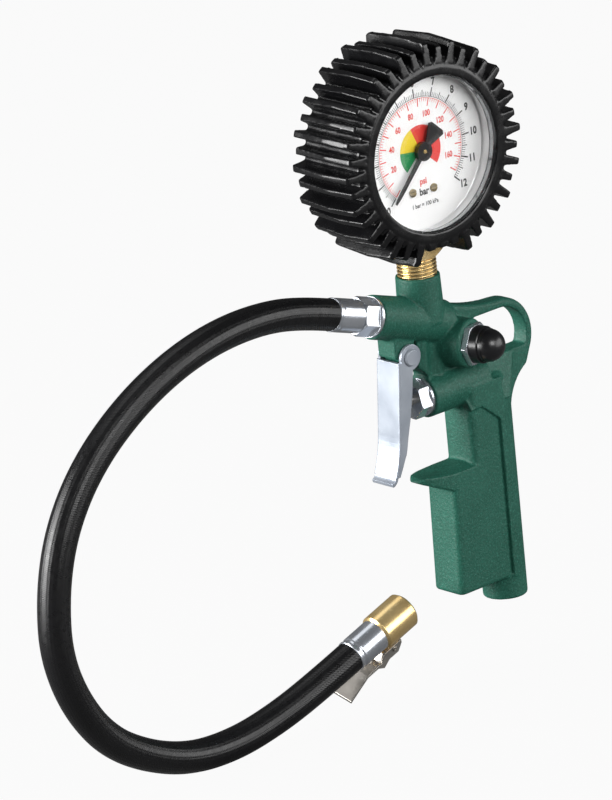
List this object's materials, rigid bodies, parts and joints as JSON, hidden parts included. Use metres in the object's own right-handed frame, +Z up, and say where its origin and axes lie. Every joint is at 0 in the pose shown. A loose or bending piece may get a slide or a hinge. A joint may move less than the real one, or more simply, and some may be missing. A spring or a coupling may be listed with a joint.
{
  "type": "tyre inflator with gauge",
  "caption": "Hand-held tyre inflator: pistol body with trigger and release button, gauge in a finned rubber boot, and a short hose that ends in a clip-on chuck.",
  "frame": {"origin": "centre of the mouth of the air inlet at the foot of the grip", "axes": "+Z up along the grip to the gauge, -X towards the trigger and the hose outlet, -Y towards the side that the dial faces"},
  "size_m": [0.2343, 0.0405, 0.2379],
  "materials": {
    "body_paint": "textured powder coat",
    "brass": "turned",
    "seal_rubber": "matt",
    "case_steel": "satin black",
    "bezel_steel": "satin",
    "window": "clear",
    "dial_paint": "matt white with a printed scale",
    "pointer_paint": "matt black",
    "boot_rubber": "semi-gloss moulded",
    "zinc_plate": "bright zinc",
    "steel": "bright",
    "button_plastic": "gloss",
    "hose_rubber": "matt with a fine wrap pattern"
  },
  "bodies": {
    "pistol": {"pistol_body": "body_paint", "gauge_stem": "brass", "stem_seal": "seal_rubber", "gauge_case": "case_steel", "gauge_bezel": "bezel_steel", "gauge_lens": "window", "lens_gasket": "seal_rubber", "gauge_dial": "dial_paint", "dial_screws": "brass", "movement_plates": "brass", "bourdon_tube": "brass", "gauge_boot": "boot_rubber", "trigger_rivet": "zinc_plate", "valve_nut": "zinc_plate", "valve_spring": "steel", "release_nut": "zinc_plate", "release_seat": "brass", "release_spring": "steel", "hose_nipple": "zinc_plate", "front_ferrule": "zinc_plate", "hose": "hose_rubber", "end_ferrule": "zinc_plate", "chuck_body": "brass", "lever_pin": "steel", "lever_spring": "steel", "chuck_seal": "seal_rubber", "chuck_core_pin": "brass"},
    "trigger": {"trigger": "zinc_plate"},
    "valve": {"valve_stem": "steel", "valve_washer": "seal_rubber"},
    "release": {"release_button": "button_plastic", "release_stem": "brass", "release_washer": "seal_rubber"},
    "sector": {"sector_gear": "brass"},
    "link": {"movement_link": "brass"},
    "pointer": {"gauge_pointer": "pointer_paint", "pointer_shaft": "brass"},
    "lever": {"chuck_lever": "steel"}
  },
  "joints": [
    {"name": "trigger_squeeze", "type": "hinge", "parent": "pistol", "child": "trigger", "pos_m": [-0.0403, 0, 0.1027], "axis": [0, -1, 0], "range_deg": [0, 9.5], "stiffness_Nm_per_rad": 0.8, "springref_deg": -2.86},
    {"name": "valve_slide", "type": "slide", "parent": "pistol", "child": "valve", "axis": [1, 0, 0], "range_m": [0, 0.0031], "deforming": ["valve_spring"]},
    {"name": "release_press", "type": "slide", "parent": "pistol", "child": "release", "axis": [-0.2588, 0.9659, 0], "range_m": [0, 0.002], "stiffness_N_per_m": 800, "springref_m": -0.002, "deforming": ["release_spring"]},
    {"name": "sector_turn", "type": "hinge", "parent": "pistol", "child": "sector", "pos_m": [-0.0282, 0, 0.16128], "axis": [0.0454, 0.999, 0], "range_deg": [-33.75, 0]},
    {"name": "pointer_turn", "type": "hinge", "parent": "pistol", "child": "pointer", "pos_m": [-0.0282, 0, 0.1764], "axis": [0.0454, 0.999, 0], "range_deg": [0, 270]},
    {"name": "link_turn", "type": "hinge", "parent": "sector", "child": "link", "pos_m": [-0.0282, 0, 0.15478], "axis": [0.0454, 0.999, 0], "range_deg": [0, 34]},
    {"name": "lever_clip", "type": "hinge", "parent": "pistol", "child": "lever", "pos_m": [-0.05745, 0.00267, -0.00197], "axis": [-0.1055, 0.9455, 0.308], "range_deg": [0, 10], "stiffness_Nm_per_rad": 0.15, "springref_deg": -11.46, "deforming": ["lever_spring"]}
  ],
  "couplings": [
    {"joint": "valve_slide", "follows": "trigger_squeeze", "m_per_rad": 0.018093},
    {"joint": "pointer_turn", "follows": "sector_turn", "ratio": -8},
    {"joint": "link_turn", "follows": "sector_turn", "ratio": -1}
  ]
}
